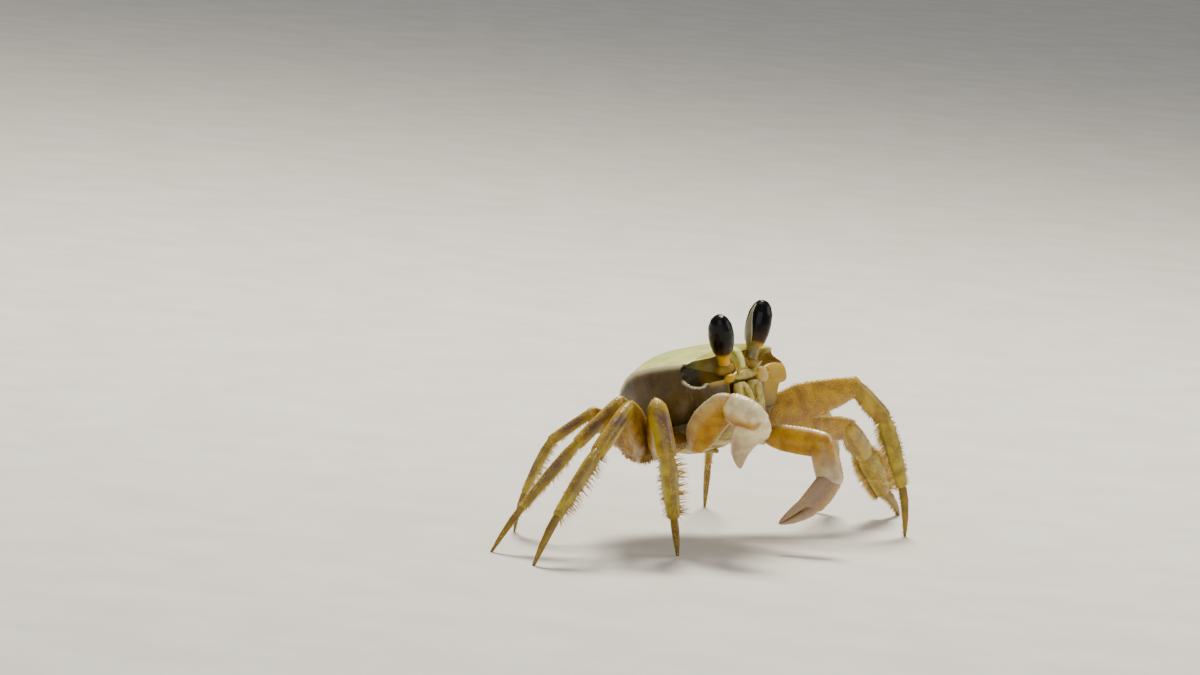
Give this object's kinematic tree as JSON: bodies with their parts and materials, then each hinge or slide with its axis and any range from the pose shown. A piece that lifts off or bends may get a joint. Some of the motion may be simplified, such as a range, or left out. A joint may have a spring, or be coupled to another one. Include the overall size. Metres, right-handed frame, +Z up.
{
  "type": "ghost crab",
  "caption": "Life-size ghost crab standing still on hairy legs, the body pitched up at the front, both tall eyes raised, one claw folded to the mouth and the other reaching down",
  "frame": {"origin": "on the floor under the middle of the outer box", "axes": "the crab faces -Y, its left side is +X, +Z is up"},
  "size_m": [0.1558, 0.0652, 0.059],
  "materials": {
    "shell": "satin",
    "belly": "satin",
    "leg": "satin",
    "arm": "satin",
    "claw": "satin",
    "eye": "gloss",
    "stalk": "satin",
    "mouth": "satin"
  },
  "bodies": {
    "root": {"carapace": "shell", "sternum": "belly", "abdomen": "belly", "maxilliped_right": "mouth", "eye_cornea_right": "eye", "eyestalk_right": "stalk", "maxilliped_left": "mouth", "eye_cornea_left": "eye", "eyestalk_left": "stalk", "face": "mouth", "leg2_hip_right": "leg", "leg2_merus_right": "leg", "leg2_carpus_right": "leg", "leg2_propodus_right": "leg", "leg2_dactyl_right": "leg", "leg3_hip_right": "leg", "leg3_merus_right": "leg", "leg3_carpus_right": "leg", "leg3_propodus_right": "leg", "leg3_dactyl_right": "leg", "leg4_hip_right": "leg", "leg4_merus_right": "leg", "leg4_carpus_right": "leg", "leg4_propodus_right": "leg", "leg4_dactyl_right": "leg", "leg5_hip_right": "leg", "leg5_merus_right": "leg", "leg5_carpus_right": "leg", "leg5_propodus_right": "leg", "leg5_dactyl_right": "leg", "claw_coxa_right": "arm", "claw_merus_right": "arm", "claw_carpus_right": "claw", "claw_palm_right": "claw", "claw_finger_right": "claw", "leg2_hip_left": "leg", "leg2_merus_left": "leg", "leg2_carpus_left": "leg", "leg2_propodus_left": "leg", "leg2_dactyl_left": "leg", "leg3_hip_left": "leg", "leg3_merus_left": "leg", "leg3_carpus_left": "leg", "leg3_propodus_left": "leg", "leg3_dactyl_left": "leg", "leg4_hip_left": "leg", "leg4_merus_left": "leg", "leg4_carpus_left": "leg", "leg4_propodus_left": "leg", "leg4_dactyl_left": "leg", "leg5_hip_left": "leg", "leg5_merus_left": "leg", "leg5_carpus_left": "leg", "leg5_propodus_left": "leg", "leg5_dactyl_left": "leg", "claw_coxa_left": "arm", "claw_merus_left": "arm", "claw_carpus_left": "claw", "claw_palm_left": "claw", "claw_finger_left": "claw"}
  },
  "joints": []
}
